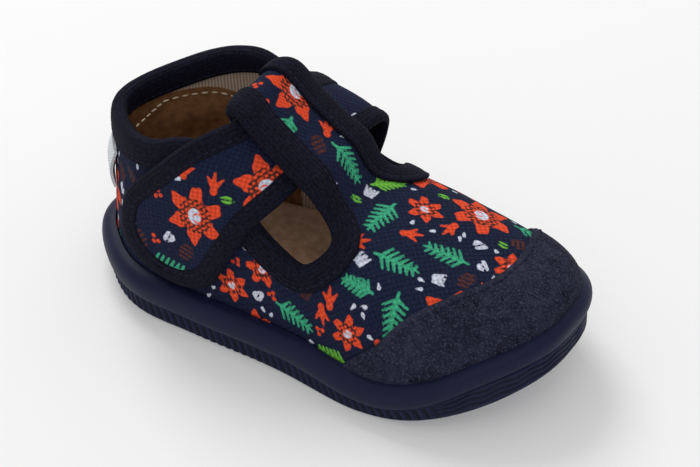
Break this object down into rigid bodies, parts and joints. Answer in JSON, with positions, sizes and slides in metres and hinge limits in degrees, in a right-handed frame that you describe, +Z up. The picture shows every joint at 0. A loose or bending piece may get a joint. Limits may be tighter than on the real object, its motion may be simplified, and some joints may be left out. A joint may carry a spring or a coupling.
{
  "type": "house slipper",
  "caption": "Child's T-bar canvas house slipper with bound side openings, a hook-and-loop strap, suede toe cap and ribbed rubber sole; right foot.",
  "frame": {"origin": "on the floor under the middle of the shoe's length and breadth", "axes": "+X towards the toe, +Y towards the inner side of the foot, +Z up"},
  "size_m": [0.14, 0.0701, 0.069],
  "materials": {
    "tread": "matt navy, ribbed",
    "sole_band": "smooth navy, slight sheen",
    "insole": "tan brushed fabric",
    "upper": "navy printed canvas",
    "binding": "dark woven tape",
    "strap": "navy printed canvas",
    "strap_binding": "dark woven tape",
    "toe_cap": "grey-navy suede",
    "heel_label": "plain white ribbon"
  },
  "bodies": {
    "root": {"tread": "tread", "sole_band": "sole_band", "insole": "insole", "upper": "upper", "binding": "binding", "strap": "strap", "strap_binding": "strap_binding", "toe_cap": "toe_cap", "heel_label": "heel_label"}
  },
  "joints": []
}
